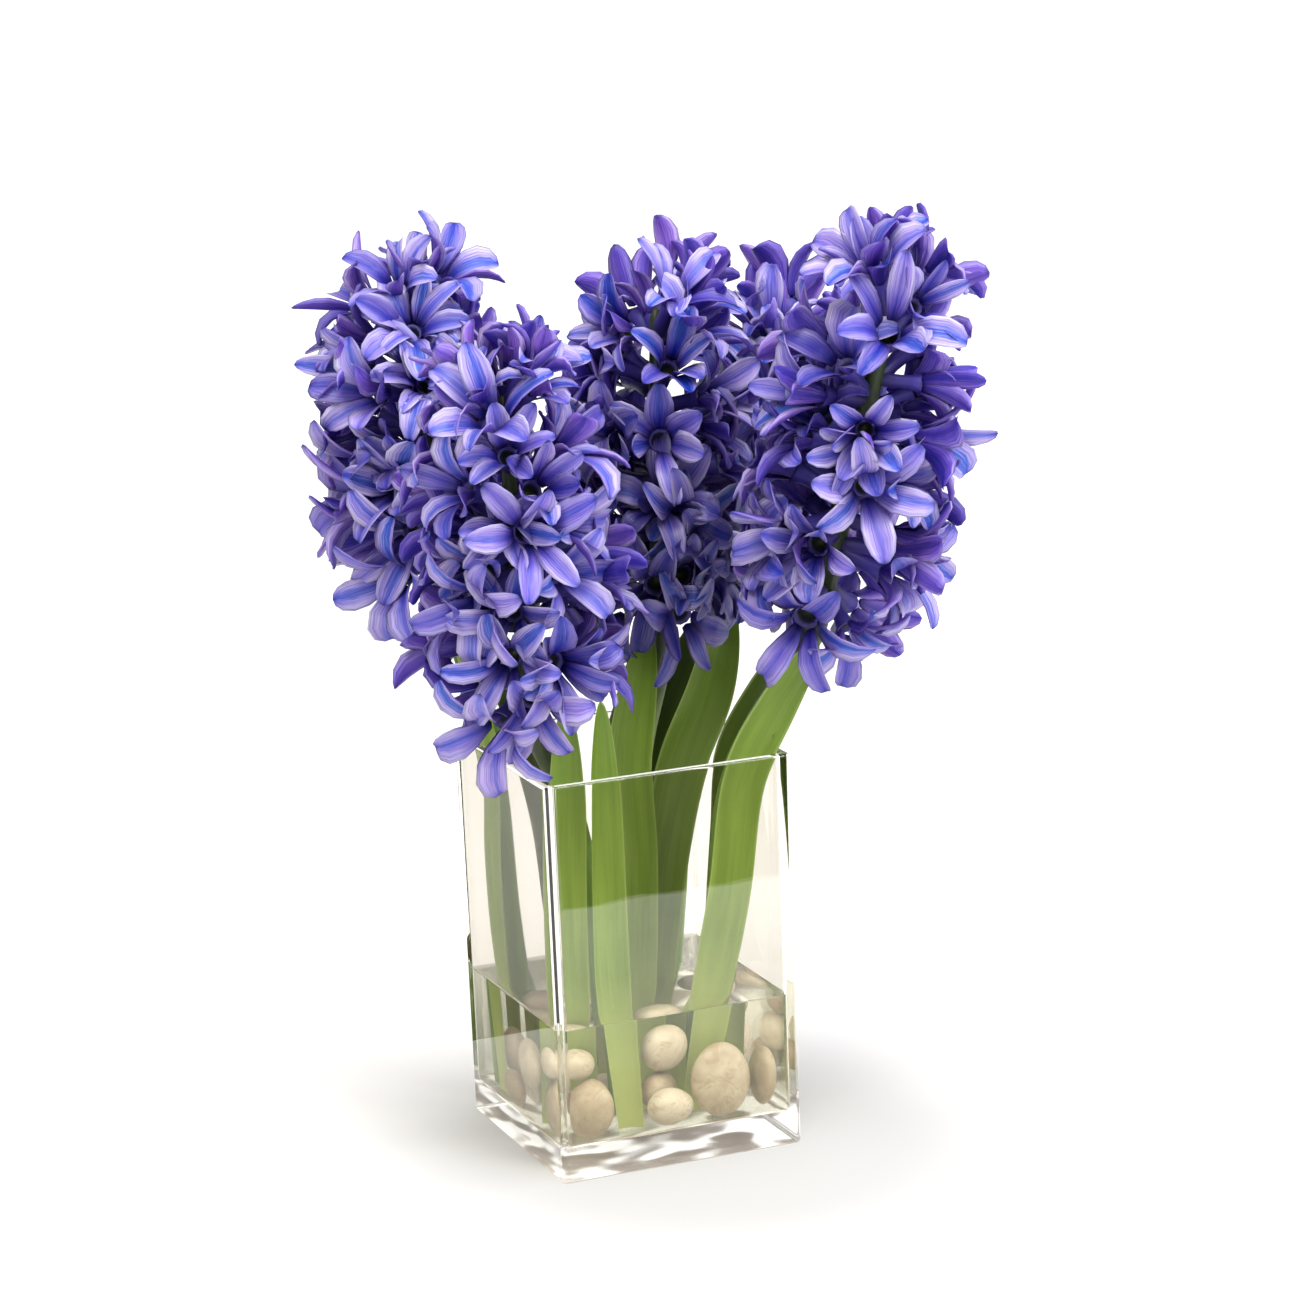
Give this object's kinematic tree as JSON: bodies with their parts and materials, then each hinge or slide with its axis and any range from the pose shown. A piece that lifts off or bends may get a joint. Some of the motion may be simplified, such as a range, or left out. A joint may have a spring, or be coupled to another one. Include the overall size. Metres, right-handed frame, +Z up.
{
  "type": "hyacinth flowers with leaves in a square glass vase",
  "caption": "Violet-blue hyacinth heads on green stalks with strap leaves, standing in a square clear glass vase with water and rounded pebbles.",
  "frame": {"origin": "centre of the vase's flat underside, on the surface that it stands on", "axes": "+Z up through the vase; -Y is the vase's front face, +X to its right"},
  "size_m": [0.2286, 0.2239, 0.3632],
  "materials": {
    "clear_glass": "clear, fire-polished edges",
    "still_water": "clear still water",
    "beach_pebble": "tumbled smooth, wet",
    "strap_leaf": "waxy leaf with long parallel veins",
    "fleshy_stalk": "smooth fleshy stalk",
    "violet_tepals": "soft satin tepals, blue along the middle"
  },
  "bodies": {
    "root": {"vase": "clear_glass", "water": "still_water", "pebble_01": "beach_pebble", "pebble_02": "beach_pebble", "pebble_03": "beach_pebble", "pebble_04": "beach_pebble", "pebble_05": "beach_pebble", "pebble_06": "beach_pebble", "pebble_07": "beach_pebble", "pebble_08": "beach_pebble", "pebble_09": "beach_pebble", "pebble_10": "beach_pebble", "pebble_11": "beach_pebble", "pebble_12": "beach_pebble", "pebble_13": "beach_pebble", "pebble_14": "beach_pebble", "pebble_15": "beach_pebble", "leaf_01": "strap_leaf", "leaf_02": "strap_leaf", "leaf_03": "strap_leaf", "leaf_04": "strap_leaf", "leaf_05": "strap_leaf", "leaf_06": "strap_leaf", "leaf_07": "strap_leaf", "leaf_08": "strap_leaf", "leaf_09": "strap_leaf", "leaf_10": "strap_leaf", "scape_left": "fleshy_stalk", "scape_front": "fleshy_stalk", "scape_middle": "fleshy_stalk", "scape_right": "fleshy_stalk", "scape_back": "fleshy_stalk", "flower_left": "violet_tepals", "flower_front": "violet_tepals", "flower_middle": "violet_tepals", "flower_right": "violet_tepals", "flower_back": "violet_tepals"}
  },
  "joints": []
}
